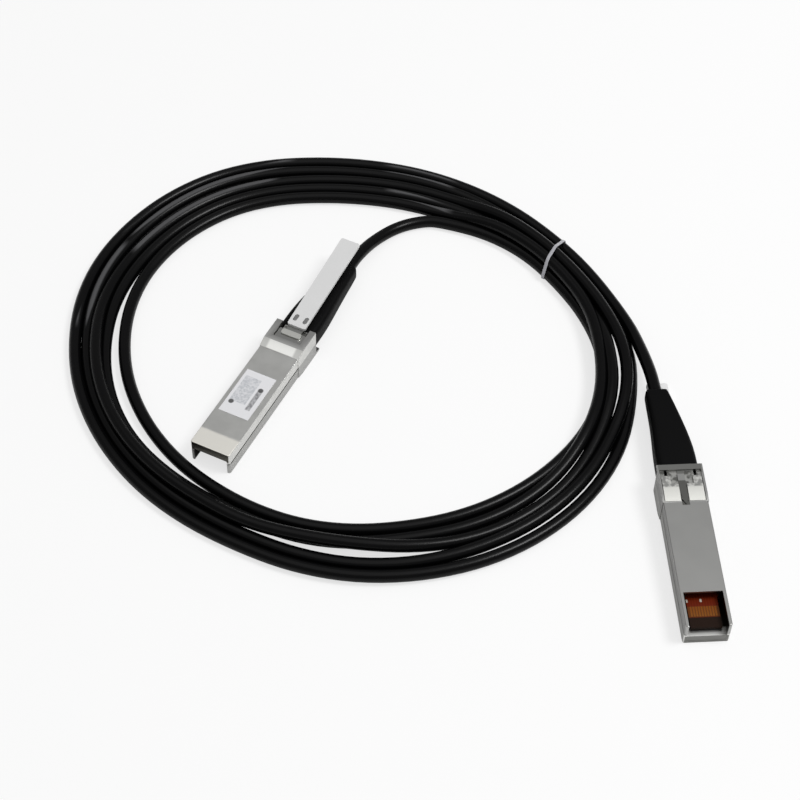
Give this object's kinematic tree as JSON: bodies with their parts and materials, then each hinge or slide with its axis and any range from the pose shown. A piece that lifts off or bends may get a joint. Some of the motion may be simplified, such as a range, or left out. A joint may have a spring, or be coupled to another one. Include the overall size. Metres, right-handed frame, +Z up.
{
  "type": "direct attach copper cable",
  "caption": "Coiled black twinax cable with a small pluggable metal connector, sprung latch slide and pull tab at each end.",
  "frame": {"origin": "on the floor, at the middle of the box round the two connector ends with their boots and tabs", "axes": "+Z up from the surface that it lies on; +X across, with end a to the left (-X) and end b to the right; +Y away from the viewer"},
  "size_m": [0.2032, 0.1988, 0.0106],
  "materials": {
    "die_cast_metal": "die-cast zinc, tumbled and nickel plated, soft grey",
    "slide_steel": "stamped stainless sheet",
    "spring_steel": "spring wire",
    "clear_tab": "translucent pale nylon",
    "stud_metal": "dark plated studs",
    "circuit_card": "dark red-brown solder mask on glass-fibre board",
    "contact_gold": "gold plated copper pads",
    "chip_black": "moulded component bodies",
    "core_insulation": "insulated cores with bare tips",
    "ferrule_metal": "crimped tube",
    "cable_jacket": "black satin jacket",
    "boot_black": "black moulded elastomer",
    "label_paper": "white paper label with plain bars",
    "tie_clear": "thin clear band"
  },
  "bodies": {
    "root": {"top_shell_a": "die_cast_metal", "bottom_shell_a": "die_cast_metal", "paddle_card_a": "circuit_card", "contact_fingers_a": "contact_gold", "card_components_a": "chip_black", "send_pair_a": "core_insulation", "receive_pair_a": "core_insulation", "crimp_ferrule_a": "ferrule_metal", "cable_tail_a": "cable_jacket", "boot_a": "boot_black", "top_shell_b": "die_cast_metal", "bottom_shell_b": "die_cast_metal", "paddle_card_b": "circuit_card", "contact_fingers_b": "contact_gold", "card_components_b": "chip_black", "send_pair_b": "core_insulation", "receive_pair_b": "core_insulation", "crimp_ferrule_b": "ferrule_metal", "cable_tail_b": "cable_jacket", "boot_b": "boot_black", "label_a": "label_paper", "cable_coil": "cable_jacket", "cable_lead_a": "cable_jacket", "cable_lead_b": "cable_jacket", "cable_tie": "tie_clear"},
    "latch_a": {"latch_slide_a": "slide_steel", "return_springs_a": "spring_steel", "pull_tab_a": "clear_tab", "tab_studs_a": "stud_metal"},
    "latch_b": {"latch_slide_b": "slide_steel", "return_springs_b": "spring_steel", "pull_tab_b": "clear_tab", "tab_studs_b": "stud_metal"}
  },
  "joints": [
    {"name": "pull_a", "type": "slide", "parent": "root", "child": "latch_a", "axis": [0.4275, 0.904, 0.009], "range_m": [0, 0.002], "stiffness_N_per_m": 400},
    {"name": "pull_b", "type": "slide", "parent": "root", "child": "latch_b", "axis": [-0.0838, 0.9962, 0.0243], "range_m": [0, 0.002], "stiffness_N_per_m": 400}
  ]
}
